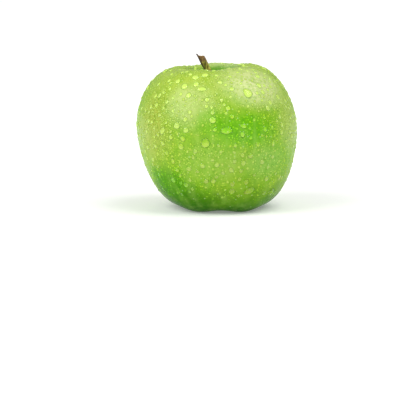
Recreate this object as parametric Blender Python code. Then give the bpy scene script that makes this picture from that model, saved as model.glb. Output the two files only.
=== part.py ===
"""A green apple as picked: the fruit, its stem, and the dried flower parts in the basin at its base.

Metres, +Z up along the core. The apple stands on the five lobes round its basin, with the origin
on the surface that it stands on, under the middle of its outline. The stem leans towards -X.
"""

import math

import bmesh
import bpy
from mathutils import Matrix, Vector
from mathutils.geometry import interpolate_bezier

MM = 0.001

# The fruit, measured on its lobes from the surface that it stands on.
EQUATOR_RADIUS = 38.8 * MM
EQUATOR_HEIGHT = 39.6 * MM
SHOULDER_HEIGHT = 69.4 * MM
SHOULDER_RADIUS = 17.5 * MM  # of the crest round the stem cavity
SHOULDER_TAPER = 0.4 * MM  # how far the upper side lies inside an ellipse
CROWN_RADIUS = 16.8 * MM  # of the crest round the basin, which the lobes stand on
CROWN_TAPER = 0.5 * MM  # how far the lower side lies inside an ellipse
CAVITY_DEPTH = 13.0 * MM
CAVITY_TURN = math.radians(62)  # more makes the cavity's wall steeper at the stem
BASIN_DEPTH = 8.0 * MM
BASIN_TURN = math.radians(55)
BASIN_FLOOR_RADIUS = 4.9 * MM
CALYX_TUBE_RADIUS = 2.6 * MM
CALYX_TUBE_DEPTH = 5.0 * MM
CALYX_TUBE_END_RADIUS = 1.6 * MM

# Its lobes and what makes it uneven.
LOBES = 5
LOBE_ANGLE = math.radians(18)  # where the first lobe is, from +X
CROWN_LOBE = 1.1 * MM  # how far the crest rises between two lobes at the base
SHOULDER_LOBE = 0.7 * MM  # how far it dips between two lobes at the top
SIDE_RIB = 0.35 * MM  # how far the side swells on a lobe
OVALITY = 0.25 * MM  # how much further it reaches along X than along Y, each way
SHOULDER_TILT = 0.75 * MM  # how much higher the +X shoulder is, each way
LEAN = 3.2 * MM  # how far the top lies towards -X of the base
FLAT_DEPTH = 0.25 * MM  # how much of each lobe's foot the resting weight flattens

# The stem, whose foot sits in a socket at the cavity's floor.
STEM_FOOT_RADIUS = 1.6 * MM
STEM_RADIUS = 1.2 * MM
STEM_TIP_RADIUS = 1.55 * MM
STEM_TIP_RISE = 4.2 * MM  # of its end above the shoulders
STEM_TIP_REACH = 7.0 * MM  # of its end from its foot, towards -X
STEM_FOOT_LEAN = math.radians(6)
STEM_TIP_LEAN = math.radians(31)
STEM_LIP = 2.0 * MM  # how much further its end reaches on the -X side, where it tore
SOCKET_DEPTH = 2.5 * MM

# The dried flower: sepals round the calyx tube's mouth, stamens and styles inside it.
SEPALS = 5
SEPAL_RADIUS = 3.9 * MM  # where each is rooted, from the core
SEPAL_DROP = 5.5 * MM
SEPAL_BEND = 2.2 * MM  # how far its lower half is drawn in towards the core
SEPAL_HALF_WIDTH = 1.67 * MM
SEPAL_TIP_HALF_WIDTH = 0.12 * MM
SEPAL_HALF_THICKNESS = 0.33 * MM
SEPAL_TIP_HALF_THICKNESS = 0.16 * MM
STAMENS = 15
STAMEN_RING_WALL = 0.7 * MM
STAMEN_RING_DEPTH = 0.8 * MM
STAMEN_RING_SET_BACK = 0.6 * MM  # of the ring inside the tube's mouth
STAMEN_DROP = 4.0 * MM
STAMEN_TIP_RADIUS = 1.4 * MM  # of the circle that the tips lie on
STAMEN_INSET = 0.05 * MM  # of a filament's root from the ring's edges
STYLES = 5
STYLE_COLUMN_RADIUS = 0.8 * MM
STYLE_FORK = 0.5 * MM  # of the fork inside the tube's mouth
STYLE_DROP = 2.4 * MM
STYLE_SPREAD = 0.25 * MM
STYLE_INSET = 0.08 * MM  # of a style's root from its part of the column's end

CLEARANCE = 0.3 * MM  # between any two pieces

SEGMENTS = 60  # round the fruit
CREST_STEPS = 12  # rings from a crest to the equator
HOLLOW_STEPS = 9  # rings down the cavity or the basin

CALYX_FLOOR = BASIN_DEPTH  # height of the shelf round the tube's mouth
CAVITY_FLOOR = SHOULDER_HEIGHT - CAVITY_DEPTH
SOCKET_RADIUS = STEM_FOOT_RADIUS + CLEARANCE + SOCKET_DEPTH * math.tan(STEM_FOOT_LEAN)
STEM_FOOT_HEIGHT = CAVITY_FLOOR - SOCKET_DEPTH + CLEARANCE


def clear_scene():
    for obj in list(bpy.data.objects):
        bpy.data.objects.remove(obj)


def material(name, colour, roughness):
    made = bpy.data.materials.new(name)
    made.use_nodes = True
    shader = made.node_tree.nodes["Principled BSDF"]
    shader.inputs["Base Color"].default_value = (*colour, 1)
    shader.inputs["Roughness"].default_value = roughness
    shader.inputs["Metallic"].default_value = 0
    return made


def mesh_from(bm, name, finish):
    bmesh.ops.recalc_face_normals(bm, faces=bm.faces)
    mesh = bpy.data.meshes.new(name)
    bm.to_mesh(mesh)
    bm.free()
    mesh.materials.append(finish)
    mesh.shade_smooth()
    mesh.set_sharp_from_angle(angle=math.radians(50))
    return mesh


def node(name, mesh, parent, location, turn=0.0):
    """An object for one piece, turned about the core and carried by the parent."""
    obj = bpy.data.objects.new(name, mesh)
    obj.location = location
    obj.rotation_euler.z = turn
    obj.parent = parent
    bpy.context.scene.collection.objects.link(obj)
    return obj


def smoothstep(value, low, high):
    share = min(1.0, max(0.0, (value - low) / (high - low)))
    return share * share * (3 - 2 * share)


def side_arc(crest_radius, crest_height, taper):
    """(radius, height) from a crest, which is left out, to the equator."""
    width = EQUATOR_RADIUS - crest_radius
    rise = crest_height - EQUATOR_HEIGHT
    points = []
    for step in range(1, CREST_STEPS + 1):
        turn = math.pi / 2 * (1 - step / CREST_STEPS)
        radius = crest_radius + width * math.cos(turn) - taper * math.sin(2 * turn) ** 2
        points.append((radius, EQUATOR_HEIGHT + rise * math.sin(turn)))
    return points


def hollow_arc(crest, floor, last_turn):
    """(radius, height) from a crest down to a hollow's floor, both ends included."""
    points = []
    for step in range(HOLLOW_STEPS + 1):
        turn = last_turn * step / HOLLOW_STEPS
        across = math.sin(turn) / math.sin(last_turn)
        along = (1 - math.cos(turn)) / (1 - math.cos(last_turn))
        points.append(
            (
                crest[0] + (floor[0] - crest[0]) * across,
                crest[1] + (floor[1] - crest[1]) * along,
            )
        )
    return points


def outline():
    """The fruit's half outline, from the calyx tube's blind end to the stem socket's."""
    tube = [
        (CALYX_TUBE_END_RADIUS, CALYX_FLOOR + CALYX_TUBE_DEPTH),
        (CALYX_TUBE_RADIUS, CALYX_FLOOR + CALYX_TUBE_DEPTH / 2),
        (CALYX_TUBE_RADIUS, CALYX_FLOOR),
    ]
    crown = (CROWN_RADIUS, -FLAT_DEPTH)
    basin = hollow_arc(crown, (BASIN_FLOOR_RADIUS, CALYX_FLOOR), BASIN_TURN)
    lower = side_arc(*crown, CROWN_TAPER)
    upper = side_arc(SHOULDER_RADIUS, SHOULDER_HEIGHT, SHOULDER_TAPER)
    shoulder = (SHOULDER_RADIUS, SHOULDER_HEIGHT)
    cavity = hollow_arc(shoulder, (SOCKET_RADIUS, CAVITY_FLOOR), CAVITY_TURN)
    socket_end = (SOCKET_RADIUS, CAVITY_FLOOR - SOCKET_DEPTH)
    return tube + basin[::-1] + lower + upper[-2::-1] + cavity + [socket_end]


def uneven(radius, height, angle):
    """The point of the fruit's skin where a plain turned shape has (radius, height) at that angle."""
    wave = math.cos(LOBES * (angle - LOBE_ANGLE))
    between = (1 - wave) / 2
    crown = smoothstep(radius, BASIN_FLOOR_RADIUS, CROWN_RADIUS) * (
        1 - smoothstep(height, 0, EQUATOR_HEIGHT)
    )
    shoulder = smoothstep(radius, SOCKET_RADIUS, SHOULDER_RADIUS) * smoothstep(
        height, EQUATOR_HEIGHT, SHOULDER_HEIGHT
    )
    side = smoothstep(radius, CROWN_RADIUS, EQUATOR_RADIUS)
    radius += side * (SIDE_RIB * wave + OVALITY * math.cos(2 * angle))
    height += CROWN_LOBE * crown * between
    height -= SHOULDER_LOBE * shoulder * between
    height += SHOULDER_TILT * shoulder * math.cos(angle)
    return leaning(Vector((radius * math.cos(angle), radius * math.sin(angle), height)))


def leaning(point):
    """The point, moved towards -X in step with its height."""
    return point - Vector((LEAN * point.z / SHOULDER_HEIGHT, 0, 0))


def on_core(height):
    """The point of the leaning core at that height."""
    return leaning(Vector((0, 0, height)))


def fruit_mesh():
    bm = bmesh.new()
    rings = []
    for radius, height in outline():
        turns = [2 * math.pi * step / SEGMENTS for step in range(SEGMENTS)]
        rings.append([bm.verts.new(uneven(radius, height, turn)) for turn in turns])
    for lower, upper in zip(rings, rings[1:]):
        for step in range(SEGMENTS):
            after = (step + 1) % SEGMENTS
            bm.faces.new((lower[step], lower[after], upper[after], upper[step]))
    bm.faces.new(rings[0])
    bm.faces.new(rings[-1])
    flatten_feet(bm)
    return mesh_from(bm, "fruit", material("green_skin", (0.24, 0.52, 0.03), 0.3))


def flatten_feet(bm):
    """Cuts the lobes off flat where they meet the surface that the apple stands on."""
    whole = bm.verts[:] + bm.edges[:] + bm.faces[:]
    bmesh.ops.bisect_plane(bm, geom=whole, plane_co=(0, 0, 0), plane_no=(0, 0, 1), clear_inner=True)
    bmesh.ops.holes_fill(bm, edges=[edge for edge in bm.edges if edge.is_boundary])


def loft(spine, sizes, sides, across=Vector((0, 1, 0))):
    """A closed solid round a line of points, as a bmesh. sizes holds each point's half width,
    which lies along across, and half thickness."""
    bm = bmesh.new()
    rings = []
    for index, (centre, (half_width, half_thickness)) in enumerate(zip(spine, sizes)):
        before = spine[max(index - 1, 0)]
        after = spine[min(index + 1, len(spine) - 1)]
        along = (after - before).normalized()
        wide = (across - across.dot(along) * along).normalized()
        thick = along.cross(wide)
        ring = []
        for step in range(sides):
            turn = 2 * math.pi * step / sides
            offset = wide * half_width * math.cos(turn) + thick * half_thickness * math.sin(turn)
            ring.append(bm.verts.new(centre + offset))
        rings.append(ring)
    for lower, upper in zip(rings, rings[1:]):
        for step in range(sides):
            after = (step + 1) % sides
            bm.faces.new((lower[step], lower[after], upper[after], upper[step]))
    bm.faces.new(rings[0])
    bm.faces.new(rings[-1])
    return bm, rings


def stem_radius(share):
    """The stem's radius at a share of its length: a foot, a slender neck and a flared end."""
    foot = STEM_FOOT_RADIUS + (STEM_RADIUS - STEM_FOOT_RADIUS) * smoothstep(share, 0.1, 0.45)
    return foot + (STEM_TIP_RADIUS - STEM_RADIUS) * smoothstep(share, 0.75, 1.0)


def stem_mesh():
    """The stem, with its foot's centre at the mesh's origin."""
    rings, sides = 18, 20
    tip = Vector((-STEM_TIP_REACH, 0, SHOULDER_HEIGHT + STEM_TIP_RISE - STEM_FOOT_HEIGHT))
    start, aim = (
        Vector((-math.tan(lean), 0, 1)) * tip.z / 3 for lean in (STEM_FOOT_LEAN, STEM_TIP_LEAN)
    )
    spine = interpolate_bezier(Vector(), start, tip - aim, tip, rings)
    sizes = [(stem_radius(step / (rings - 1)),) * 2 for step in range(rings)]
    bm, made = loft(spine, sizes, sides)
    for vert in made[-1]:
        outward = smoothstep(tip.x - vert.co.x, -STEM_TIP_RADIUS, STEM_TIP_RADIUS)
        vert.co += aim.normalized() * STEM_LIP * outward
    return mesh_from(bm, "stem", material("stem_bark", (0.16, 0.09, 0.03), 0.7))


def sepal_mesh(finish):
    """A sepal hanging from z = 0 at SEPAL_RADIUS along +X. It bends in and its tip turns out."""
    rings, sides = 12, 10
    root = Vector((SEPAL_RADIUS, 0, 0))
    tip = Vector((SEPAL_RADIUS, 0, -SEPAL_DROP))
    down = root.lerp(tip, 0.3)
    inward = root.lerp(tip, 0.55) - Vector((SEPAL_BEND, 0, 0))
    spine = interpolate_bezier(root, down, inward, tip, rings)
    wide = Vector((SEPAL_HALF_WIDTH, SEPAL_HALF_THICKNESS))
    narrow = Vector((SEPAL_TIP_HALF_WIDTH, SEPAL_TIP_HALF_THICKNESS))
    sizes = [wide.lerp(narrow, (step / (rings - 1)) ** 1.5) for step in range(rings)]
    bm, _ = loft(spine, sizes, sides)
    return mesh_from(bm, "sepal", finish)


def grow(bm, faces, tip_of, steps, tip_scale):
    """Draws each face out into a slender branch, whose end is at tip_of(face's centre)."""
    for face in faces:
        start = face.calc_center_median()
        move = (tip_of(start) - start) / steps
        for _ in range(steps):
            face = bmesh.ops.extrude_discrete_faces(bm, faces=[face])["faces"][0]
            centre = face.calc_center_median()
            for vert in face.verts:
                vert.co = centre + (vert.co - centre) * tip_scale ** (1 / steps) + move


def stamens_mesh(finish):
    """A ring that lines the tube, z = 0 at its lower face, with a filament under every other part."""
    segments = 2 * STAMENS
    outer = CALYX_TUBE_RADIUS - CLEARANCE
    inner = outer - STAMEN_RING_WALL
    bm = bmesh.new()
    corners = [(inner, 0), (outer, 0), (outer, STAMEN_RING_DEPTH), (inner, STAMEN_RING_DEPTH)]
    columns = []
    for step in range(segments):
        turn = Matrix.Rotation(2 * math.pi * step / segments, 3, "Z")
        columns.append([bm.verts.new(turn @ Vector((x, 0, z))) for x, z in corners])
    undersides = []
    for step, column in enumerate(columns):
        after = columns[(step + 1) % segments]
        for side in range(4):
            beside = (side + 1) % 4
            face = bm.faces.new((column[side], column[beside], after[beside], after[side]))
            if side == 0 and step % 2 == 0:
                undersides.append(face)

    def tip_of(start):
        around = Vector((start.x, start.y, 0)).normalized()
        return around * STAMEN_TIP_RADIUS - Vector((0, 0, STAMEN_DROP))

    bmesh.ops.recalc_face_normals(bm, faces=bm.faces)
    bmesh.ops.inset_individual(bm, faces=undersides, thickness=STAMEN_INSET)
    grow(bm, undersides, tip_of, steps=4, tip_scale=0.5)
    return mesh_from(bm, "stamens", finish)


def styles_mesh(finish):
    """The column that the styles share, z = 0 at its root, and the styles that it forks into."""
    height = CALYX_TUBE_DEPTH - CLEARANCE - STYLE_FORK
    bm = bmesh.new()
    rim = []
    for level in (0, -height):
        turns = [Matrix.Rotation(math.pi * step / STYLES, 3, "Z") for step in range(2 * STYLES)]
        rim.append([bm.verts.new(t @ Vector((STYLE_COLUMN_RADIUS, 0, level))) for t in turns])
    root, fork = rim
    for step in range(2 * STYLES):
        after = (step + 1) % (2 * STYLES)
        bm.faces.new((root[step], root[after], fork[after], fork[step]))
    bm.faces.new(root)
    middle = bm.verts.new((0, 0, -height))
    parts = []
    for step in range(0, 2 * STYLES, 2):
        last = fork[(step + 2) % (2 * STYLES)]
        parts.append(bm.faces.new((fork[step], fork[step + 1], last, middle)))

    def tip_of(start):
        around = Vector((start.x, start.y, 0)).normalized()
        return start + around * STYLE_SPREAD - Vector((0, 0, STYLE_DROP))

    bmesh.ops.recalc_face_normals(bm, faces=bm.faces)
    bmesh.ops.inset_individual(bm, faces=parts, thickness=STYLE_INSET)
    grow(bm, parts, tip_of, steps=3, tip_scale=0.7)
    return mesh_from(bm, "styles", finish)


def centre_of_outline(mesh):
    """The middle of the mesh's extent along X and Y."""
    spans = [[vert.co[axis] for vert in mesh.vertices] for axis in (0, 1)]
    return Vector([(min(span) + max(span)) / 2 for span in spans] + [0])


def build():
    clear_scene()
    apple = bpy.data.objects.new("apple", None)
    bpy.context.scene.collection.objects.link(apple)
    dried = material("dried_flower", (0.13, 0.08, 0.04), 0.85)

    skin = fruit_mesh()
    apple.location = -centre_of_outline(skin)
    node("fruit", skin, apple, on_core(0))
    node("stem", stem_mesh(), apple, on_core(STEM_FOOT_HEIGHT))

    sepal = sepal_mesh(dried)
    for index in range(SEPALS):
        turn = LOBE_ANGLE + 2 * math.pi * (index + 0.5) / SEPALS
        node(f"sepal_{index + 1}", sepal, apple, on_core(CALYX_FLOOR - CLEARANCE), turn)
    node("stamens", stamens_mesh(dried), apple, on_core(CALYX_FLOOR + STAMEN_RING_SET_BACK))
    root = CALYX_FLOOR + CALYX_TUBE_DEPTH - CLEARANCE
    node("styles", styles_mesh(dried), apple, on_core(root))


build()
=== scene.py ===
"""The looks of a green apple that has just been rinsed: its waxy skin, its torn stem, the dried
flower in its basin, and the water that stands on it in drops.

Metres, in the CAD's frame: +Z up along the core, the apple standing on z = 0 over the origin, the
stem leaning towards -X. Angles round the core start at +X, so the front is at -90 degrees.
"""

import math
import random

import bpy
import numpy as np
from mathutils import Matrix, Vector, noise
from mathutils.bvhtree import BVHTree
from mathutils.geometry import interpolate_bezier


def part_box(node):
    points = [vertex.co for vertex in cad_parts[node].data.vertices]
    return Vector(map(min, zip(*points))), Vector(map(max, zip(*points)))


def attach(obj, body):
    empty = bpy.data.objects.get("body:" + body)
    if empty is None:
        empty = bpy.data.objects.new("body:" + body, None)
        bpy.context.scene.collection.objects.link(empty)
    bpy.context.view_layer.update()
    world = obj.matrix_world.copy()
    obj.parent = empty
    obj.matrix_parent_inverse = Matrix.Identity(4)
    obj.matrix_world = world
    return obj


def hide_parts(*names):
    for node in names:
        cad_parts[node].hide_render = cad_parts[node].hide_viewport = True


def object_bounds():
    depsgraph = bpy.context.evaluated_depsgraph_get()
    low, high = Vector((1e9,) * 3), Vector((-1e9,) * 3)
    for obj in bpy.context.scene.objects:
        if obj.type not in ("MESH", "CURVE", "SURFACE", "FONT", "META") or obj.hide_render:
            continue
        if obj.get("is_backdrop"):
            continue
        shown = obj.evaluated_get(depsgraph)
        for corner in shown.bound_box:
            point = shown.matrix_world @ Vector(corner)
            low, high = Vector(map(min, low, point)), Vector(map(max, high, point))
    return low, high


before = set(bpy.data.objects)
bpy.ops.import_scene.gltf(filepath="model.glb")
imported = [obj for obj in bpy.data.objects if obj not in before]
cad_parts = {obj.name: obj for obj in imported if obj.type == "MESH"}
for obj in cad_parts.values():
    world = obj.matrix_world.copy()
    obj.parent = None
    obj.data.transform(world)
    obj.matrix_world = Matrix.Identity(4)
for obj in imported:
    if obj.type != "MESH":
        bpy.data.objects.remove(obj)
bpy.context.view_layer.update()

MM = 0.001

# The fruit's outline and unevenness, as the CAD has them.
EQUATOR_RADIUS = 38.8 * MM
EQUATOR_HEIGHT = 39.6 * MM
SHOULDER_HEIGHT = 69.4 * MM
SHOULDER_RADIUS = 17.5 * MM
SHOULDER_TAPER = 0.4 * MM
CROWN_RADIUS = 16.8 * MM
CROWN_TAPER = 0.5 * MM
CAVITY_DEPTH = 13.0 * MM
CAVITY_TURN = math.radians(62)
BASIN_DEPTH = 8.0 * MM
BASIN_TURN = math.radians(55)
BASIN_FLOOR_RADIUS = 4.9 * MM
CALYX_TUBE_RADIUS = 2.6 * MM
CALYX_TUBE_DEPTH = 5.0 * MM
CALYX_TUBE_END_RADIUS = 1.6 * MM
LOBES = 5
LOBE_ANGLE = math.radians(18)
CROWN_LOBE = 1.1 * MM
SHOULDER_LOBE = 0.7 * MM
SIDE_RIB = 0.35 * MM
OVALITY = 0.25 * MM
SHOULDER_TILT = 0.75 * MM
LEAN = 3.2 * MM
FLAT_DEPTH = 0.25 * MM

# What the skin has besides.
WAVE_HEIGHT = 0.16 * MM  # of the soft swells all over it
WAVE_WIDTH = 16 * MM
STEM_HOLE_RADIUS = 1.1 * MM  # where the skin meets the stem, inside the stem's foot
SEGMENTS = 256
CREST_STEPS = 56
HOLLOW_STEPS = 40

# The stem and the dried flower, as the CAD has them, the stem a little fuller.
STEM_FOOT_RADIUS = 1.6 * MM
STEM_RADIUS = 1.52 * MM
STEM_TIP_RADIUS = 1.72 * MM
STEM_RISE = 19.4 * MM
STEM_TIP_REACH = 7.0 * MM
STEM_FOOT_LEAN = math.radians(6)
STEM_TIP_LEAN = math.radians(31)
STEM_LIP = 1.3 * MM
FLAP = 1.4 * MM  # of bark that stands beyond the lip
SEPALS = 5
SEPAL_RADIUS = 3.9 * MM
SEPAL_DROP = 5.5 * MM
SEPAL_BEND = 2.2 * MM
SEPAL_HALF_WIDTH = 1.6 * MM
SEPAL_HALF_THICKNESS = 0.16 * MM
STAMENS = 15
STAMEN_RING_RADIUS = 2.3 * MM
STAMEN_RING_WALL = 0.7 * MM
STAMEN_RING_DEPTH = 0.8 * MM
STAMEN_DROP = 4.0 * MM
STAMEN_TIP_RADIUS = 1.4 * MM
STYLES = 5
STYLE_COLUMN_RADIUS = 0.8 * MM
STYLE_COLUMN = 4.2 * MM  # its length down to the fork
STYLE_DROP = 2.4 * MM

# Water.
CONTACT_ANGLE = math.radians(33)
DROP_ROOM = 0.62  # what a medium drop keeps clear round its middle, as a share of its width
BEAD_ROOM = 0.6
FULLER = 1.3 * MM  # to a mm of a drop's look, whose thin edge hardly shows
DROP_SINK = 0.12 * MM  # of a drop's base below the skin
BASE_LIFT = 0.03 * MM  # of the skin seen through a drop above the skin round it
BASE_REACH = 0.93  # of that skin, as a share of the drop's width
LARGE_SAG = 0.25  # how much of a drop's height goes from its high side to its low side
MEDIUM_SAG = 0.15
MEDIUM_DROPS = 1300  # at most, because none may touch another
MEDIUM_SPACING = 1.8 * MM
MEDIUM_LOWEST = 8 * MM  # height that any of them lies at
MEDIUM_WIDTHS = (0.8, 0.9, 1.0, 1.1, 1.3, 1.5, 1.7, 2.0)  # in mm of a drop's look
CLEAR_WIDTH = 1.25  # in the same mm: wider ones are clear, and the others are beads
BEADS = 3300  # at most, besides those
BEAD_SPACING = 0.8 * MM
BEAD_LOWEST = 7 * MM
BEAD_WIDTHS = (0.45 * MM, 1.0 * MM)  # the least and the most
LARGE_MESH = (28, 7)  # sides and rings
MEDIUM_MESH = (14, 3)
SMALL_MESH = (10, 2)
BEAD_MESH = (8, 2)

# The lights and the camera.
LIGHT_SIZE = 0.7
LIGHT_DISTANCE = 0.9
VIEW_ELEVATION = math.radians(6.5)
CAMERA_DISTANCE = 1.2
VIEW_WIDTH = 205.3 * MM  # of the frame, at the apple
APPLE_MIDDLE = Vector((0, 0, 36.5 * MM))
AIM_LEFT = 3.3 * MM  # how far left of the apple's middle the camera aims
AIM_DOWN = 37.6 * MM  # how far below it


def smoothstep(value, low, high):
    share = np.clip((value - low) / (high - low), 0.0, 1.0)
    return share * share * (3.0 - 2.0 * share)


def new_object(name, mesh):
    obj = bpy.data.objects.new(name, mesh)
    bpy.context.scene.collection.objects.link(obj)
    return obj


def mesh_object(name, points, faces, finish=None):
    mesh = bpy.data.meshes.new(name)
    mesh.from_pydata([tuple(p) for p in points], [], [tuple(f) for f in faces])
    mesh.shade_smooth()
    if finish:
        mesh.materials.append(finish)
    return new_object(name, mesh)


def store(obj, **values):
    """Stores numbers at the points of an object's mesh, for its material to read."""
    for name, numbers in values.items():
        obj.data.attributes.new(name, "FLOAT", "POINT").data.foreach_set("value", numbers)


def lofted(rings, cyclic=False):
    """Points and faces of a closed solid through rings of points, with flat ends or none."""
    count = len(rings[0])
    points = [point for ring in rings for point in ring]
    faces = []
    for row in range(len(rings) if cyclic else len(rings) - 1):
        first, second = row * count, (row + 1) % len(rings) * count
        for step in range(count):
            after = (step + 1) % count
            faces.append((first + step, first + after, second + after, second + step))
    if not cyclic:
        last = (len(rings) - 1) * count
        faces.append(tuple(range(count - 1, -1, -1)))
        faces.append(tuple(range(last, last + count)))
    return points, faces


def joined(solids):
    """One set of points and faces from several."""
    points, faces = [], []
    for more_points, more_faces in solids:
        start = len(points)
        points += more_points
        faces += [tuple(start + k for k in face) for face in more_faces]
    return points, faces


def tube(path, radii, sides):
    """A tube's rings along a path of points."""
    rings = []
    for index, (centre, radius) in enumerate(zip(path, radii)):
        along = (path[min(index + 1, len(path) - 1)] - path[max(index - 1, 0)]).normalized()
        wide = along.orthogonal() if abs(along.y) > 0.9 else Vector((0, 1, 0))
        wide = (wide - wide.dot(along) * along).normalized()
        thick = along.cross(wide)
        turns = [2 * math.pi * step / sides for step in range(sides)]
        rings.append(
            [centre + (wide * math.cos(t) + thick * math.sin(t)) * radius for t in turns]
        )
    return rings


# ---------------------------------------------------------------- node helpers


class Nodes:
    """Short calls for building a node tree."""

    def __init__(self, name):
        self.material = bpy.data.materials.new(name)
        self.material.use_nodes = True
        self.tree = self.material.node_tree
        self.shader = self.tree.nodes["Principled BSDF"]
        self.output = self.tree.nodes["Material Output"]

    def add(self, kind, **settings):
        made = self.tree.nodes.new(kind)
        for key, value in settings.items():
            setattr(made, key, value)
        return made

    def link(self, source, target):
        self.tree.links.new(source, target)

    def set(self, **values):
        """Sets shader sockets, named with _ for a space."""
        for key, value in values.items():
            self.shader.inputs[key.replace("_", " ")].default_value = value

    def place(self):
        return self.add("ShaderNodeTexCoord").outputs["Object"]

    def height(self, place):
        split = self.add("ShaderNodeSeparateXYZ")
        self.link(place, split.inputs[0])
        return split.outputs["Z"]

    def stored(self, name):
        return self.add("ShaderNodeAttribute", attribute_name=name).outputs["Fac"]

    def scaled(self, vector, scale):
        mapping = self.add("ShaderNodeMapping")
        mapping.inputs["Scale"].default_value = scale
        self.link(vector, mapping.inputs["Vector"])
        return mapping.outputs["Vector"]

    def noise(self, vector, scale, detail=2.0, roughness=0.5, distortion=0.0):
        made = self.add("ShaderNodeTexNoise")
        made.inputs["Scale"].default_value = scale
        made.inputs["Detail"].default_value = detail
        made.inputs["Roughness"].default_value = roughness
        made.inputs["Distortion"].default_value = distortion
        self.link(vector, made.inputs["Vector"])
        return made.outputs["Fac"]

    def cells(self, vector, scale):
        """Distance from the nearest of points strewn at about scale to the metre."""
        made = self.add("ShaderNodeTexVoronoi", feature="F1", distance="EUCLIDEAN")
        made.inputs["Scale"].default_value = scale
        self.link(vector, made.inputs["Vector"])
        return made.outputs["Distance"]

    def bent(self, vector, scale, reach):
        """vector, moved about by noise."""
        made = self.add("ShaderNodeTexNoise")
        made.inputs["Scale"].default_value = scale
        self.link(vector, made.inputs["Vector"])
        moved = self.add("ShaderNodeVectorMath", operation="MULTIPLY_ADD")
        self.link(made.outputs["Color"], moved.inputs[0])
        moved.inputs[1].default_value = (reach, reach, reach)
        self.link(vector, moved.inputs[2])
        return moved.outputs[0]

    def span(self, value, low, high, to_low=0.0, to_high=1.0, smooth=True):
        """value from low..high to to_low..to_high."""
        made = self.add("ShaderNodeMapRange")
        made.interpolation_type = "SMOOTHSTEP" if smooth else "LINEAR"
        for name, number in zip(
            ("From Min", "From Max", "To Min", "To Max"), (low, high, to_low, to_high)
        ):
            made.inputs[name].default_value = number
        self.link(value, made.inputs["Value"])
        return made.outputs["Result"]

    def maths(self, operation, first, second):
        made = self.add("ShaderNodeMath", operation=operation)
        for socket, value in zip(made.inputs, (first, second)):
            if isinstance(value, (int, float)):
                socket.default_value = value
            else:
                self.link(value, socket)
        return made.outputs["Value"]

    def mix(self, share, first, second, blend="MIX"):
        """A mix of two colours, each a socket or a tuple."""
        made = self.add("ShaderNodeMix", data_type="RGBA", blend_type=blend)
        if isinstance(share, (int, float)):
            made.inputs["Factor"].default_value = share
        else:
            self.link(share, made.inputs["Factor"])
        for socket, value in zip((made.inputs[6], made.inputs[7]), (first, second)):
            if isinstance(value, tuple):
                socket.default_value = (*value, 1.0)
            else:
                self.link(value, socket)
        return made.outputs[2]

    def lit(self, colour, gain, most):
        """A colour times a gain, and no brighter than most."""
        return self.mix(1.0, self.mix(1.0, colour, gain, "MULTIPLY"), most, "DARKEN")

    def bump(self, height, distance, strength=1.0, below=None):
        made = self.add("ShaderNodeBump")
        made.inputs["Strength"].default_value = strength
        made.inputs["Distance"].default_value = distance
        self.link(height, made.inputs["Height"])
        if below:
            self.link(below, made.inputs["Normal"])
        return made.outputs["Normal"]

    def patch(self, vector, centre, radii, soft=0.35):
        """1 inside an ellipsoid about centre, falling softly to 0 at its outside."""
        moved = self.add("ShaderNodeVectorMath", operation="SUBTRACT")
        self.link(vector, moved.inputs[0])
        moved.inputs[1].default_value = centre
        shrunk = self.add("ShaderNodeVectorMath", operation="DIVIDE")
        self.link(moved.outputs[0], shrunk.inputs[0])
        shrunk.inputs[1].default_value = radii
        far = self.add("ShaderNodeVectorMath", operation="LENGTH")
        self.link(shrunk.outputs[0], far.inputs[0])
        return self.span(far.outputs["Value"], soft, 1.0, 1.0, 0.0)


# ---------------------------------------------------------------- materials


# Where the skin differs from its general colour, and where light and shade are painted on it as
# marked below: the patch's middle and half size in mm, its share, its colour, and how far out it
# starts to fade.
TINT_AND_PAINTED_LIGHT_PATCHES = [
    ((-30, -22, 42), (20, 20, 26), 0.6, (0.43, 0.43, 0.08), 0.25),
    ((-10, -26, 60), (22, 16, 14), 0.5, (0.42, 0.53, 0.07), 0.25),
    # Painted highlight: pale where the right softbox's light falls on the shoulder.
    ((15, -20, 60), (24, 20, 14), 0.95, (0.59, 0.64, 0.29), 0.35),
    # Painted highlight: pale where the left softbox's light falls.
    ((-12, -33, 53), (17, 15, 15), 0.75, (0.48, 0.57, 0.18), 0.35),
    ((34, -14, 44), (14, 18, 20), 0.6, (0.42, 0.50, 0.11), 0.25),
    ((12, -35, 42), (22, 16, 11), 0.95, (0.13, 0.41, 0.002), 0.35),
    ((-3, -37, 46), (11, 10, 9), 0.6, (0.15, 0.43, 0.004), 0.3),
    ((0, -37, 34), (16, 10, 8), 0.5, (0.18, 0.44, 0.006), 0.3),
    ((24, -30, 26), (16, 16, 12), 0.6, (0.24, 0.48, 0.08), 0.25),
    # Painted shade: dark green low on the front's left side.
    ((-24, -24, 13), (20, 20, 15), 0.9, (0.075, 0.28, 0.0), 0.35),
    ((-2, -36, 26), (24, 12, 14), 0.5, (0.31, 0.50, 0.07), 0.25),
    # Painted reflection: pale along the far shoulder's top, as if the bright surroundings showed in
    # it.
    ((10, 14, 70), (24, 13, 5), 0.7, (0.46, 0.58, 0.24), 0.4),
    # Painted shade: dark green deep in the stem's hollow, where less light reaches.
    ((-1, 0, 59), (17, 17, 22), 0.95, (0.035, 0.22, 0.003), 0.55),
]


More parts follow.
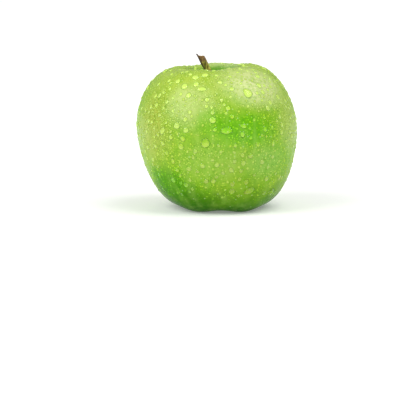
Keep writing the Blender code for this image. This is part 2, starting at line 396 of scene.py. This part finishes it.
def skin_colour(n, place):
    """The skin's colour: yellower at the shoulders, darker low down with painted shade, with broad
    soft patches, some of them painted highlights, a painted reflection and painted shade, and
    mottling, faint streaks from stem to calyx, pale lenticels, and the finest drops with their
    painted light."""
    height = n.height(place)
    general, yellow = (0.21, 0.44, 0.012), (0.38, 0.48, 0.055)
    underside_shade, pale = (0.030, 0.15, 0.001), (0.42, 0.60, 0.13)
    colour = n.mix(n.span(n.noise(place, 42, 3, 0.55, 0.6), 0.36, 0.68, 0.0, 0.3), general, yellow)
    colour = n.mix(n.span(height, 45 * MM, 68 * MM, 0.0, 0.6), colour, yellow)
    for middle, reach, share, tint, fade in TINT_AND_PAINTED_LIGHT_PATCHES:
        inside = n.patch(place, [v * MM for v in middle], [v * MM for v in reach], fade)
        colour = n.mix(n.maths("MULTIPLY", inside, share), colour, tint)
    # Painted shade: low down, along a wavy edge, the skin darkens towards a deep green, as an
    # underside in shade would.
    wave = n.span(n.noise(place, 70, 2, 0.5), 0.3, 0.7, -2 * MM, 3 * MM)
    waved = n.maths("ADD", height, wave)
    colour = n.mix(n.span(waved, 20 * MM, 1 * MM, 0.0, 0.95), colour, underside_shade)

    streaks = n.noise(n.scaled(place, (1.0, 1.0, 0.12)), 260, 3, 0.6)
    colour = n.mix(n.span(streaks, 0.4, 0.75, 0.0, 0.22), colour, pale)
    clouds = n.noise(place, 380, 3, 0.65, 0.4)
    darker = n.mix(1.0, colour, (0.72, 0.86, 0.6), "MULTIPLY")
    colour = n.mix(n.span(clouds, 0.56, 0.36, 0.0, 0.6), colour, darker)

    speck = n.span(n.cells(place, 330), 0.06, 0.16, 0.4, 0.0)
    colour = n.mix(speck, colour, (0.62, 0.78, 0.38))
    # The finest drops are painted in: a painted dark edge round each, and a painted highlight
    # inside it where it gathers light.
    near, ring, _ = mist(n, place)
    mist_painted_edge_shade = n.mix(1.0, colour, (0.58, 0.72, 0.42), "MULTIPLY")
    colour = n.mix(n.maths("MULTIPLY", ring, 0.9), colour, mist_painted_edge_shade)
    mist_painted_highlight = n.lit(colour, (1.95, 1.82, 2.1), (0.47, 0.65, 0.15))
    return n.mix(near, colour, mist_painted_highlight)


def mist(n, place):
    """The finest drops, painted into the skin: where each is, where its painted dark edge is, and
    how far up its side. They lie thickest on the front's two sides, and none lies on the underside."""
    cells = n.cells(n.bent(place, 600, 0.4 * MM), 760)
    thick = n.span(n.noise(place, 110, 2, 0.5), 0.38, 0.62, 0.2, 0.9)
    for side in (-28 * MM, 28 * MM):
        middle, reach = (side, -24 * MM, 42 * MM), (18 * MM, 18 * MM, 22 * MM)
        beside = n.patch(place, middle, reach, 0.3)
        thick = n.maths("ADD", thick, n.maths("MULTIPLY", beside, 0.5))
    thick = n.maths("MULTIPLY", thick, n.span(n.height(place), 3 * MM, 12 * MM))
    dot = n.maths("MULTIPLY", n.span(cells, 0.20, 0.36, 1.0, 0.0), thick)
    edge = n.maths("MULTIPLY", n.span(cells, 0.28, 0.42), n.span(cells, 0.42, 0.60, 1.0, 0.0))
    return dot, n.maths("MULTIPLY", edge, thick), n.span(cells, 0.0, 0.40, 1.0, 0.0)


def skin_material():
    """Waxy skin, slightly uneven in its gloss, which is weaker low down."""
    n = Nodes("apple_skin")
    place = n.place()
    n.link(skin_colour(n, place), n.shader.inputs["Base Color"])
    blotch = n.noise(place, 150, 3, 0.6)
    n.link(n.span(blotch, 0.3, 0.7, 0.24, 0.34), n.shader.inputs["Roughness"])
    wax = n.span(n.height(place), 6 * MM, 40 * MM, 0.03, 0.22)
    n.link(wax, n.shader.inputs["Coat Weight"])
    fine = n.bump(mist(n, place)[2], 0.10 * MM, 0.6)
    dimples = n.bump(n.noise(place, 320, 2, 0.5), 0.05 * MM, below=fine)
    n.link(dimples, n.shader.inputs["Normal"])
    n.set(
        IOR=1.4,
        Specular_IOR_Level=0.04,
        Subsurface_Weight=0.08,
        Subsurface_Radius=(0.6, 1.0, 0.2),
        Subsurface_Scale=1.5 * MM,
        Coat_IOR=1.6,
        Coat_Roughness=0.26,
    )
    return n.material


def lit_skin_material(name, roughness):
    """Skin below a drop, with painted light: brighter than the skin, brightest on the drop's low
    side, where the drop gathers the light, and with painted shade just inside its edge. Low on the
    fruit the painted shade at the edge is fainter and the painted light stronger."""
    n = Nodes(name)
    place = n.place()
    low_down = n.span(n.height(place), 48 * MM, 12 * MM)
    colour = skin_colour(n, place)
    # Painted light: the skin seen through a drop, brightened, most on its low side and low on the
    # fruit.
    bright = n.lit(colour, (1.45, 1.32, 1.6), (0.42, 0.57, 0.09))
    brighter = n.lit(colour, (1.75, 1.55, 2.0), (0.44, 0.60, 0.09))
    brightest = n.lit(colour, (2.55, 2.05, 3.2), (0.47, 0.63, 0.12))
    bright = n.mix(n.maths("MULTIPLY", low_down, 0.85), bright, brighter)
    bright = n.mix(n.span(n.stored("low_side"), -0.75, 0.75), bright, brightest)
    # Painted shade just inside the drop's edge, fainter low on the fruit.
    dark = n.mix(1.0, colour, (0.50, 0.62, 0.36), "MULTIPLY")
    dark = n.mix(n.maths("MULTIPLY", low_down, 0.6), dark, bright)
    edge = n.span(n.stored("out_share"), 0.68, 0.90)
    n.link(n.mix(edge, bright, dark), n.shader.inputs["Base Color"])
    n.set(Roughness=roughness, IOR=1.33, Specular_IOR_Level=0.15)
    return n.material


def water_material():
    """Water, which lets light straight through to the skin below it."""
    n = Nodes("water")
    n.set(
        Base_Color=(1.0, 1.0, 1.0, 1.0),
        Roughness=0.09,
        IOR=1.333,
        Specular_IOR_Level=0.12,
        Transmission_Weight=1.0,
    )
    clear = n.add("ShaderNodeBsdfTransparent")
    path = n.add("ShaderNodeLightPath")
    either = n.add("ShaderNodeMixShader")
    n.link(path.outputs["Is Shadow Ray"], either.inputs[0])
    n.link(n.shader.outputs[0], either.inputs[1])
    n.link(clear.outputs[0], either.inputs[2])
    n.link(either.outputs[0], n.output.inputs["Surface"])
    return n.material


def stem_material():
    """Bark: olive and streaked at the foot, brown towards the torn end, which is paler, and
    nearly black on the far side."""
    n = Nodes("stem_bark")
    place = n.place()
    fibres = n.noise(n.scaled(place, (1.0, 1.0, 0.09)), 1500, 4, 0.65)
    blotch = n.noise(place, 420, 3, 0.6)
    olive = n.mix(n.span(fibres, 0.34, 0.60), (0.10, 0.11, 0.003), (0.58, 0.50, 0.08))
    brown = n.mix(n.span(fibres, 0.35, 0.7), (0.085, 0.042, 0.012), (0.30, 0.17, 0.055))
    uneven_edge = n.span(blotch, 0.3, 0.7, -2 * MM, 2 * MM, False)
    rise = n.maths("ADD", n.height(place), uneven_edge)
    colour = n.mix(n.span(rise, 70 * MM, 72.8 * MM), olive, brown)
    colour = n.mix(n.maths("MULTIPLY", n.stored("torn"), 0.7), colour, (0.33, 0.22, 0.08))
    back, high = n.span(n.stored("far_side"), 0.3, 0.75), n.span(rise, 62 * MM, 69 * MM)
    colour = n.mix(n.maths("MULTIPLY", back, high), colour, (0.04, 0.022, 0.016))
    n.link(colour, n.shader.inputs["Base Color"])
    n.link(n.bump(fibres, 0.12 * MM, 0.9), n.shader.inputs["Normal"])
    n.set(Roughness=0.62, IOR=1.4)
    return n.material


def dried_material():
    """Dead, crisp plant tissue, grey-brown with paler downy patches."""
    n = Nodes("dried_flower")
    place = n.place()
    grain = n.noise(n.scaled(place, (1.0, 1.0, 0.25)), 1600, 4, 0.65)
    down = n.noise(place, 900, 2, 0.6)
    colour = n.mix(n.span(grain, 0.35, 0.68), (0.045, 0.024, 0.012), (0.23, 0.14, 0.07))
    colour = n.mix(n.span(down, 0.55, 0.75, 0.0, 0.6), colour, (0.36, 0.33, 0.22))
    n.link(colour, n.shader.inputs["Base Color"])
    n.link(n.bump(grain, 0.08 * MM, 0.8), n.shader.inputs["Normal"])
    n.set(Roughness=0.9, IOR=1.4)
    return n.material


# ---------------------------------------------------------------- the fruit


def side_arc(crest_radius, crest_height, taper):
    """(radius, height) rows from next to a crest to the equator."""
    turn = np.linspace(math.pi / 2, 0, CREST_STEPS + 1)[1:]
    radius = crest_radius + (EQUATOR_RADIUS - crest_radius) * np.cos(turn)
    radius -= taper * np.sin(2 * turn) ** 2
    height = EQUATOR_HEIGHT + (crest_height - EQUATOR_HEIGHT) * np.sin(turn)
    return np.stack([radius, height], axis=1)


def hollow_arc(crest, floor, last_turn):
    """(radius, height) rows from a crest down to a hollow's floor."""
    turn = np.linspace(0, last_turn, HOLLOW_STEPS + 1)
    across = np.sin(turn) / math.sin(last_turn)
    along = (1 - np.cos(turn)) / (1 - math.cos(last_turn))
    crest, floor = np.array(crest), np.array(floor)
    return crest + (floor - crest) * np.stack([across, along], axis=1)


def outline():
    """The fruit's half outline, from the calyx tube's blind end to the skin's end at the stem."""
    calyx_floor = BASIN_DEPTH
    tube = [
        (CALYX_TUBE_END_RADIUS, calyx_floor + CALYX_TUBE_DEPTH),
        (CALYX_TUBE_RADIUS, calyx_floor + CALYX_TUBE_DEPTH * 0.5),
        (CALYX_TUBE_RADIUS, calyx_floor + 0.5 * MM),
        (CALYX_TUBE_RADIUS + 0.15 * MM, calyx_floor + 0.1 * MM),
        (CALYX_TUBE_RADIUS + 0.5 * MM, calyx_floor),
    ]
    crown = (CROWN_RADIUS, -FLAT_DEPTH)
    shoulder = (SHOULDER_RADIUS, SHOULDER_HEIGHT)
    cavity_floor = SHOULDER_HEIGHT - CAVITY_DEPTH
    basin = hollow_arc(crown, (BASIN_FLOOR_RADIUS, calyx_floor), BASIN_TURN)
    lower = side_arc(*crown, CROWN_TAPER)
    upper = side_arc(*shoulder, SHOULDER_TAPER)
    cavity = hollow_arc(shoulder, (2 * STEM_HOLE_RADIUS, cavity_floor), CAVITY_TURN)
    end = [(STEM_HOLE_RADIUS, cavity_floor - 1.2 * MM), (STEM_HOLE_RADIUS, cavity_floor - 2.0 * MM)]
    return np.concatenate([tube, basin[::-1], lower, upper[-2::-1], cavity, end])


def uneven(radius, height, angle):
    """Where the skin is, for arrays of (radius, height) on the plain outline and of angles."""
    wave = np.cos(LOBES * (angle - LOBE_ANGLE))
    between = (1 - wave) / 2
    crown = smoothstep(radius, BASIN_FLOOR_RADIUS, CROWN_RADIUS)
    crown = crown * (1 - smoothstep(height, 0, EQUATOR_HEIGHT))
    shoulder = smoothstep(radius, 2 * STEM_HOLE_RADIUS, SHOULDER_RADIUS)
    shoulder = shoulder * smoothstep(height, EQUATOR_HEIGHT, SHOULDER_HEIGHT)
    side = smoothstep(radius, CROWN_RADIUS, EQUATOR_RADIUS)
    radius = radius + side * (SIDE_RIB * wave + OVALITY * np.cos(2 * angle))
    height = height + CROWN_LOBE * crown * between - SHOULDER_LOBE * shoulder * between
    height = height + SHOULDER_TILT * shoulder * np.cos(angle)
    across = radius * np.cos(angle) - LEAN * height / SHOULDER_HEIGHT
    return np.stack([across, radius * np.sin(angle), height], axis=-1)


def soft_swells(points):
    """points, moved out from the core by soft noise."""
    middle = Vector((0, 0, EQUATOR_HEIGHT))
    moved = []
    for point in points:
        place = Vector(point)
        swell = noise.noise(place / WAVE_WIDTH) + 0.4 * noise.noise(place / WAVE_WIDTH * 2.3)
        away = (place - middle).normalized()
        near_core = smoothstep(math.hypot(place.x, place.y), 5 * MM, 20 * MM)
        moved.append(place + away * WAVE_HEIGHT * swell * float(near_core))
    return np.array(moved)


def fruit_object():
    rows = outline()
    turns = np.linspace(0, 2 * math.pi, SEGMENTS, endpoint=False)
    points = uneven(rows[:, :1], rows[:, 1:], turns[None, :]).reshape(-1, 3)
    low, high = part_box("fruit")
    points[:, :2] += (np.array(low + high)[:2] - points.min(0)[:2] - points.max(0)[:2]) / 2
    points = soft_swells(points)
    points[:, 2] = np.maximum(points[:, 2], low.z)
    rings = points.reshape(len(rows), SEGMENTS, 3)
    return mesh_object("skin", *lofted(rings), skin_material())


# ---------------------------------------------------------------- water


class Water:
    """Collects drops and makes one mesh of them: of their domes and, where they are clear, of the
    skin seen through them too, as a disc whose finish paints the light that the drop gathers."""

    def __init__(self, tree, clear):
        self.tree, self.clear = tree, clear
        self.points, self.faces = [], []
        self.low_side, self.out_share = [], []

    def on_skin(self, angle, height):
        """The skin's point and normal at an angle round the core, in degrees, and a height."""
        out = Vector((math.cos(math.radians(angle)), math.sin(math.radians(angle)), 0))
        start = out * 0.1 + Vector((0, 0, height))
        point, normal, _, _ = self.tree.ray_cast(start, -out)
        return point, normal

    def drop(self, point, normal, width, length, turn, mesh, sag, rng):
        """A drop whose length lies at turn radians from straight down the skin."""
        sides, rings = mesh
        down = Vector((0, 0, -1)) + normal * normal.z
        down = down.normalized() if down.length > 0.01 else Vector((1, 0, 0))
        side = normal.cross(down)
        dome = math.tan(CONTACT_ANGLE / 2) * width / 2
        curve = (width * width / 4 + dome * dome) / (2 * dome)
        wobble = [rng.uniform(-0.06, 0.06) for _ in range(2)]
        phases = [rng.uniform(0, 2 * math.pi) for _ in range(2)]

        def put(share, angle, lift):
            reach = 1 + wobble[0] * math.cos(2 * angle + phases[0])
            reach += wobble[1] * math.cos(3 * angle + phases[1])
            along = math.cos(angle) * share * reach * length / 2
            across = math.sin(angle) * share * reach * width / 2
            fall = along * math.cos(turn) - across * math.sin(turn)
            over = along * math.sin(turn) + across * math.cos(turn)
            lift = lift * (1 + sag * fall / (length / 2))
            place = point + down * fall + side * over
            below = self.tree.ray_cast(place + normal * 3 * MM, -normal, 8 * MM)[0] or place
            self.points.append(below + normal * lift)
            self.low_side.append(fall / (length / 2))
            self.out_share.append(share)

        def disc(level, reach):
            """A closed disc of rings, whose upper side is at level(share of its width)."""
            first = len(self.points)
            put(0, 0, level(0))
            shares = [reach * ring / rings for ring in range(1, rings + 1)]
            for share, lift in [(share, level(share)) for share in shares] + [(reach, -DROP_SINK)]:
                for step in range(sides):
                    put(share, 2 * math.pi * step / sides, lift)
            made = []
            for step in range(sides):
                after = (step + 1) % sides
                made.append((first, first + 1 + step, first + 1 + after))
                for ring in range(rings):
                    inner, outer = first + 1 + ring * sides, first + 1 + (ring + 1) * sides
                    made.append((inner + step, outer + step, outer + after, inner + after))
            rim = first + 1 + rings * sides
            made.append([rim + step for step in reversed(range(sides))])
            return made

        def cap(share):
            return math.sqrt(max(curve**2 - (share * width / 2) ** 2, 0)) - (curve - dome)

        self.faces.append((disc(cap, 1), 0))
        if self.clear:
            self.faces.append((disc(lambda share: BASE_LIFT, BASE_REACH), 1))

    def made(self, name, finishes):
        faces = [face for group, _ in self.faces for face in group]
        slots = [slot for group, slot in self.faces for _ in group]
        obj = mesh_object(name, self.points, faces)
        for finish in finishes:
            obj.data.materials.append(finish)
        obj.data.polygons.foreach_set("material_index", slots)
        store(obj, low_side=self.low_side, out_share=self.out_share)
        return obj


# The drops that stand out, each as its angle round the core in degrees, its height, its width
# and its length in mm, and how its length is turned from straight down the skin, in degrees.
LARGE_DROPS = [
    (-119, 44, 2.9, 2.9, 0),
    (-131, 41, 2.2, 3.4, -30),
    (-93, 47, 2.8, 3.0, 0),
    (-83, 42, 2.9, 4.9, 90),
    (-64, 59, 3.6, 4.6, 25),
    (-50, 62, 2.4, 2.5, 0),
    (-44, 66, 2.4, 2.4, 0),
    (-49, 59, 2.2, 2.3, 0),
    (-32, 56, 2.4, 2.6, 0),
    (-35, 61, 2.0, 2.2, 0),
    (-45, 54, 2.2, 2.3, 0),
    (-54, 42, 2.0, 2.2, 0),
    (-71, 44, 1.8, 3.2, 70),
    (-112, 66, 2.9, 2.9, 0),
    (-103, 67, 2.9, 2.9, 0),
    (-109, 63, 2.4, 2.5, 0),
    (-119, 62, 2.9, 3.0, 0),
    (-128, 64, 2.4, 2.4, 0),
    (-103, 61, 2.0, 3.9, 90),
    (-113, 58, 2.4, 2.5, 0),
    (-112, 42, 2.4, 2.4, 0),
    (-116, 34, 2.4, 2.6, 0),
    (-131, 35, 2.0, 2.1, 0),
    (-98, 36, 3.4, 3.8, 0),
    (-116, 15, 2.0, 2.2, 0),
    (-127, 17, 2.2, 2.4, 0),
    (-62, 12, 2.8, 4.4, -60),
    (-77, 12, 2.4, 2.5, 0),
    (-35, 10, 2.9, 3.4, 0),
    (-47, 35, 1.5, 2.9, 0),
    (-77, 61, 2.0, 2.0, 0),
    (-87, 64, 2.0, 2.0, 0),
]


def random_places(skin, count, spacing, rng, low_height):
    """Points and normals spread over the skin, at least spacing apart, outside its hollows, and
    thicker towards its shoulders."""
    mesh = skin.data
    mesh.calc_loop_triangles()
    corners = np.array([p.vertices[:3] for p in mesh.loop_triangles])
    coords = np.array([v.co for v in mesh.vertices])
    normals = np.array([v.normal for v in mesh.vertices])
    a, b, c = (coords[corners[:, k]] for k in range(3))
    areas = np.linalg.norm(np.cross(b - a, c - a), axis=1)
    reach = np.hypot(a[:, 0], a[:, 1])
    outside = (reach > 0.75 * CROWN_RADIUS) & (a[:, 2] > low_height)
    areas = np.where(outside, areas * (0.7 + smoothstep(a[:, 2], 15 * MM, 62 * MM)), 0)
    picks = rng.choice(len(areas), size=count * 4, p=areas / areas.sum())
    shares = rng.dirichlet((1, 1, 1), size=len(picks))
    places = np.einsum("nk,nkd->nd", shares, coords[corners[picks]])
    facing = np.einsum("nk,nkd->nd", shares, normals[corners[picks]])
    kept = []
    for index, place in enumerate(places):
        if len(kept) == count:
            break
        if kept and np.min(np.sum((places[kept] - place) ** 2, axis=1)) < spacing**2:
            continue
        kept.append(index)
    return [(Vector(places[k]), Vector(facing[k]).normalized()) for k in kept]


def water_objects(skin):
    graph = bpy.context.evaluated_depsgraph_get()
    tree = BVHTree.FromObject(skin, graph)
    rng, spread = random.Random(7), np.random.default_rng(7)

    drops, beads = Water(tree, clear=True), Water(tree, clear=False)
    taken = []
    for angle, height, width, length, degrees in LARGE_DROPS:
        point, normal = drops.on_skin(angle, height * MM)
        width, length, turn = width * FULLER, length * FULLER, math.radians(degrees)
        taken.append((point, length / 2))
        drops.drop(point, normal, width, length, turn, LARGE_MESH, LARGE_SAG, rng)
    places = random_places(skin, MEDIUM_DROPS, MEDIUM_SPACING, spread, MEDIUM_LOWEST)
    for point, normal in places:
        width = rng.choice(MEDIUM_WIDTHS) * FULLER
        if any((point - other).length < reach + width * DROP_ROOM for other, reach in taken):
            continue
        taken.append((point, width / 2))
        length = width * rng.uniform(1.0, 1.25)
        turn = rng.uniform(-0.5, 0.5)
        wide = width > CLEAR_WIDTH * FULLER
        kind, mesh = (drops, MEDIUM_MESH) if wide else (beads, SMALL_MESH)
        kind.drop(point, normal, width, length, turn, mesh, MEDIUM_SAG, rng)

    near = np.array([point for point, _ in taken])
    gaps = np.array([reach for _, reach in taken])
    for point, normal in random_places(skin, BEADS, BEAD_SPACING, spread, BEAD_LOWEST):
        width = rng.uniform(*BEAD_WIDTHS)
        if np.any(np.linalg.norm(near - np.array(point), axis=1) < gaps + width * BEAD_ROOM):
            continue
        beads.drop(point, normal, width, width, 0.0, BEAD_MESH, 0.0, rng)
    # The skin seen through the clear drops and the small beads, which are opaque, both take the
    # skin's colour with painted light and a painted dark edge.
    clear, below = water_material(), lit_skin_material("skin_below_drops_painted_light", 0.5)
    bead = lit_skin_material("water_bead", 0.25)
    return drops.made("water_drops", (clear, below)), beads.made("water_beads", (bead,))


# ---------------------------------------------------------------- the stem


def stem_radius(share):
    """The stem's radius at a share of its length: a foot, a slender neck and a flared end."""
    foot = STEM_FOOT_RADIUS + (STEM_RADIUS - STEM_FOOT_RADIUS) * smoothstep(share, 0.1, 0.45)
    return foot + (STEM_TIP_RADIUS - STEM_RADIUS) * smoothstep(share, 0.7, 1.0)


def stem_object(finish):
    """The stem: ridged bark, an end torn across, and a flap of bark beyond it on the far side."""
    low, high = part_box("stem")
    foot = Vector((high.x, (low.y + high.y) / 2, low.z))
    foot += Vector((-math.cos(STEM_FOOT_LEAN), 0, math.sin(STEM_FOOT_LEAN))) * STEM_FOOT_RADIUS
    tip = foot + Vector((-STEM_TIP_REACH, 0, STEM_RISE))
    start, aim = (
        Vector((-math.tan(lean), 0, 1)) * STEM_RISE / 3 for lean in (STEM_FOOT_LEAN, STEM_TIP_LEAN)
    )
    rings, sides = 90, 80
    spine = interpolate_bezier(foot, foot + start, tip - aim, tip, rings)
    rows = [(centre, step / (rings - 1), 1.0) for step, centre in enumerate(spine)]
    rows += [(tip, 1.0, reach) for reach in (0.93, 0.82, 0.68, 0.52, 0.36, 0.2, 0.07)]

    made, far_side, torn = [], [], []
    for index, (centre, share, reach) in enumerate(rows):
        last = min(index, rings - 1)
        along = (spine[min(last + 1, rings - 1)] - spine[max(last - 1, 0)]).normalized()
        thick = along.cross(Vector((0, 1, 0)))
        ring = []
        for step in range(sides):
            turn = 2 * math.pi * step / sides
            way = Vector((0, 1, 0)) * math.cos(turn) + thick * math.sin(turn)
            grain = Vector((2.4 * math.cos(turn), 2.4 * math.sin(turn), 3 * share))
            ridge = 0.045 * math.cos(5 * turn + 1.2 * share) + 0.09 * noise.noise(grain * 1.6)
            ridge += 0.05 * noise.noise(grain * Vector((4.5, 4.5, 2.0)))
            radius = stem_radius(share) * (1 + ridge) * reach
            far = math.sin(turn) * reach
            flap = math.exp(-(((turn - math.pi / 2) / 0.6) ** 2)) * smoothstep(reach, 0.0, 0.95)
            rise = STEM_LIP * smoothstep(far, -1, 0.8) + FLAP * flap
            rise += 0.3 * MM * noise.noise(grain * Vector((2.2, 2.2, 1.0)))
            end = smoothstep(share, 0.86, 1.0)
            if reach < 1:
                rise -= 0.45 * MM * (1 - reach**2)
                rise += 0.22 * MM * noise.noise(way * reach * 5.5 + Vector((3, 1, 4)))
            ring.append(centre + way * (radius - 0.55 * MM * flap * end) + along * rise * end)
            far_side.append(far)
            torn.append(1.0 if reach < 1 else 0.0)
        made.append(ring)
    obj = mesh_object("bark", *lofted(made), finish)
    store(obj, far_side=far_side, torn=torn)
    return obj


# ---------------------------------------------------------------- the dried flower


def sepal_object(index, core, finish):
    """A dead sepal: a thin, cupped and crumpled blade that bends in and turns out at its tip."""
    rows, across = 40, 12
    root = Vector((SEPAL_RADIUS, 0, 0))
    tip = Vector((SEPAL_RADIUS, 0, -SEPAL_DROP))
    inward = root.lerp(tip, 0.55) - Vector((SEPAL_BEND, 0, 0))
    spine = interpolate_bezier(root, root.lerp(tip, 0.3), inward, tip, rows)
    rings = []
    for row, centre in enumerate(spine):
        share = row / (rows - 1)
        half = SEPAL_HALF_WIDTH * (1 - share**1.6) * (0.8 + 0.2 * smoothstep(share, 0, 0.25))
        half += 0.1 * MM
        thin = SEPAL_HALF_THICKNESS * (1 - 0.5 * share)
        ring = []
        for side in (1, -1):
            for step in range(across):
                over = side * (2 * (step + 0.5) / across - 1)
                crumple = noise.noise(Vector((over * 1.3, share * 5, index * 7.0)))
                fine = noise.noise(Vector((over * 4.0, share * 13, index * 3.0)))
                cup = 0.28 * half * over * over + 0.3 * MM * crumple * share + 0.07 * MM * fine
                thick = side * thin * math.sqrt(1 - over * over * 0.9)
                ring.append(centre + Vector((thick - cup, half * over, 0)))
        rings.append(ring)
    obj = mesh_object(f"dry_sepal_{index + 1}", *lofted(rings), finish)
    turn = LOBE_ANGLE + 2 * math.pi * (index + 0.5) / SEPALS
    obj.data.transform(Matrix.Translation(core) @ Matrix.Rotation(turn, 4, "Z"))
    return obj


def stamens_object(finish):
    """The ring that the filaments stand on, and the shrivelled filaments with their anthers."""
    low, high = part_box("stamens")
    core = Vector(((low.x + high.x) / 2, (low.y + high.y) / 2, high.z - STAMEN_RING_DEPTH))
    rng = random.Random(3)
    middle = STAMEN_RING_RADIUS - STAMEN_RING_WALL / 2
    around, corners = 120, 16
    sections = []
    for step in range(around):
        turn = 2 * math.pi * step / around
        out = Vector((math.cos(turn), math.sin(turn), 0))
        section = []
        for corner in range(corners):
            spin = 2 * math.pi * corner / corners
            rough = 1 + 0.12 * noise.noise(out * 9 + Vector((0, 0, spin)))
            wide = math.copysign(abs(math.cos(spin)) ** 0.5, math.cos(spin))
            tall = math.copysign(abs(math.sin(spin)) ** 0.5, math.sin(spin))
            reach = middle + wide * STAMEN_RING_WALL / 2 * min(rough, 1.0)
            rise = STAMEN_RING_DEPTH / 2 * (1 + tall * rough * 0.95)
            section.append(core + out * reach + Vector((0, 0, rise)))
        sections.append(section)
    solids = [lofted(sections, cyclic=True)]
    for step in range(STAMENS):
        turn = 2 * math.pi * (step + 0.25) / STAMENS
        out = Vector((math.cos(turn), math.sin(turn), 0))
        side = Vector((-out.y, out.x, 0))
        root = core + out * middle + Vector((0, 0, 0.3 * MM))
        drop = Vector((0, 0, -STAMEN_DROP * rng.uniform(0.8, 1.0)))
        tip = core + out * STAMEN_TIP_RADIUS + side * rng.uniform(-0.3, 0.3) * MM + drop
        bow = out * rng.uniform(-0.3, 0.5) * MM + side * rng.uniform(-0.3, 0.3) * MM
        path = interpolate_bezier(root, root.lerp(tip, 0.35) + bow, root.lerp(tip, 0.7), tip, 18)
        radii = [(0.2 - 0.09 * k / 13) * MM for k in range(14)]
        radii += [0.17 * MM, 0.24 * MM, 0.21 * MM, 0.08 * MM]
        solids.append(lofted(tube(path, radii, 10)))
    return mesh_object("dry_stamens", *joined(solids), finish)


def styles_object(finish):
    """The column that the styles share, and the shrivelled styles that it forks into."""
    low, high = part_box("styles")
    core = Vector(((low.x + high.x) / 2, (low.y + high.y) / 2, high.z))
    rng = random.Random(5)
    levels, sides = 20, 30
    shares = [k / (levels - 1) for k in range(levels)]
    path = [core - Vector((0, 0, STYLE_COLUMN * share)) for share in shares]
    rings = tube(path, [STYLE_COLUMN_RADIUS * (0.96 - 0.1 * share) for share in shares], sides)
    for row, ring in enumerate(rings):
        for step, point in enumerate(ring):
            groove = 1 + 0.09 * math.cos(STYLES * 2 * math.pi * step / sides)
            ring[step] = path[row] + (point - path[row]) * groove
    solids = [lofted(rings)]
    for step in range(STYLES):
        turn = 2 * math.pi * (step + 0.5) / STYLES
        out = Vector((math.cos(turn), math.sin(turn), 0))
        side = Vector((-out.y, out.x, 0))
        root = path[-1] + out * 0.4 * MM + Vector((0, 0, 0.5 * MM))
        tip = path[-1] + out * rng.uniform(0.6, 0.95) * MM + side * rng.uniform(-0.2, 0.2) * MM
        tip -= Vector((0, 0, STYLE_DROP * rng.uniform(0.85, 1.0)))
        bow = root.lerp(tip, 0.7) + out * 0.1 * MM
        line = interpolate_bezier(root, root.lerp(tip, 0.4), bow, tip, 16)
        radii = [(0.26 - 0.08 * k / 12) * MM for k in range(13)] + [0.24 * MM, 0.26 * MM, 0.12 * MM]
        solids.append(lofted(tube(line, radii, 12)))
    return mesh_object("dry_styles", *joined(solids), finish)


# ---------------------------------------------------------------- stage


def stage_objects():
    """The floor, which glows, and glows most away from the apple, so that it is white there."""
    bpy.ops.mesh.primitive_plane_add(size=12, location=(0, 0, -0.1 * MM))
    floor = bpy.context.object
    floor.name = "floor"
    n = Nodes("floor")
    near = n.patch(n.place(), (0.0, 0.0, 0.0), (0.26, 0.26, 1.0), 0.15)
    n.link(n.span(near, 0.0, 1.0, 0.6, 0.2), n.shader.inputs["Emission Strength"])
    n.set(Base_Color=(0.86, 0.87, 0.85, 1.0), Roughness=0.9, Emission_Color=(1.0, 1.0, 1.0, 1.0))
    floor.data.materials.append(n.material)
    floor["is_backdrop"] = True


def soft_light(name, direction, power):
    """A square soft light that faces the apple from a direction."""
    data = bpy.data.lights.new(name, "AREA")
    data.shape = "SQUARE"
    data.size = LIGHT_SIZE
    data.energy = power
    light = new_object(name, data)
    away = Vector(direction).normalized()
    light.location = APPLE_MIDDLE + away * LIGHT_DISTANCE
    light.rotation_mode = "QUATERNION"
    light.rotation_quaternion = away.to_track_quat("Z", "Y")


def lights():
    world = bpy.data.worlds.new("studio")
    world.use_nodes = True
    world.node_tree.nodes["Background"].inputs["Color"].default_value = (1, 1, 1, 1)
    world.node_tree.nodes["Background"].inputs["Strength"].default_value = 0.45
    bpy.context.scene.world = world
    soft_light("left_softbox", (-0.66, -0.42, 0.62), 5.3)
    soft_light("right_softbox", (0.49, -0.24, 0.83), 5.0)


def camera():
    data = bpy.data.cameras.new("camera")
    cam = new_object("camera", data)
    back = Vector((0, -math.cos(VIEW_ELEVATION), math.sin(VIEW_ELEVATION)))
    up = Vector((0, math.sin(VIEW_ELEVATION), math.cos(VIEW_ELEVATION)))
    cam.location = APPLE_MIDDLE + back * CAMERA_DISTANCE
    aim = APPLE_MIDDLE - Vector((AIM_LEFT, 0, 0)) - up * AIM_DOWN
    cam.rotation_mode = "QUATERNION"
    cam.rotation_quaternion = (aim - cam.location).to_track_quat("-Z", "Y")
    data.lens = data.sensor_width * (aim - cam.location).length / VIEW_WIDTH
    data.clip_start = 0.1
    data.clip_end = 50
    bpy.context.scene.camera = cam


# ---------------------------------------------------------------- making it

bpy.context.scene.view_settings.view_transform = "Standard"
camera()
lights()
stage_objects()

skin = fruit_object()
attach(skin, "root")
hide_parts("fruit")

for piece in water_objects(skin):
    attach(piece, "root")

dried = dried_material()
low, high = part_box("stamens")
sepal_root = Vector(((low.x + high.x) / 2, (low.y + high.y) / 2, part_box("sepal_1")[1].z))
pieces = [(stem_object(stem_material()), "stem", "stem_bark")]
pieces += [
    (sepal_object(k, sepal_root, dried), f"sepal_{k + 1}", "dried_flower") for k in range(SEPALS)
]
pieces.append((stamens_object(dried), "stamens", "dried_flower"))
pieces.append((styles_object(dried), "styles", "dried_flower"))
for piece, node, slot in pieces:
    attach(piece, "root")
    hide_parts(node)

low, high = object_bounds()
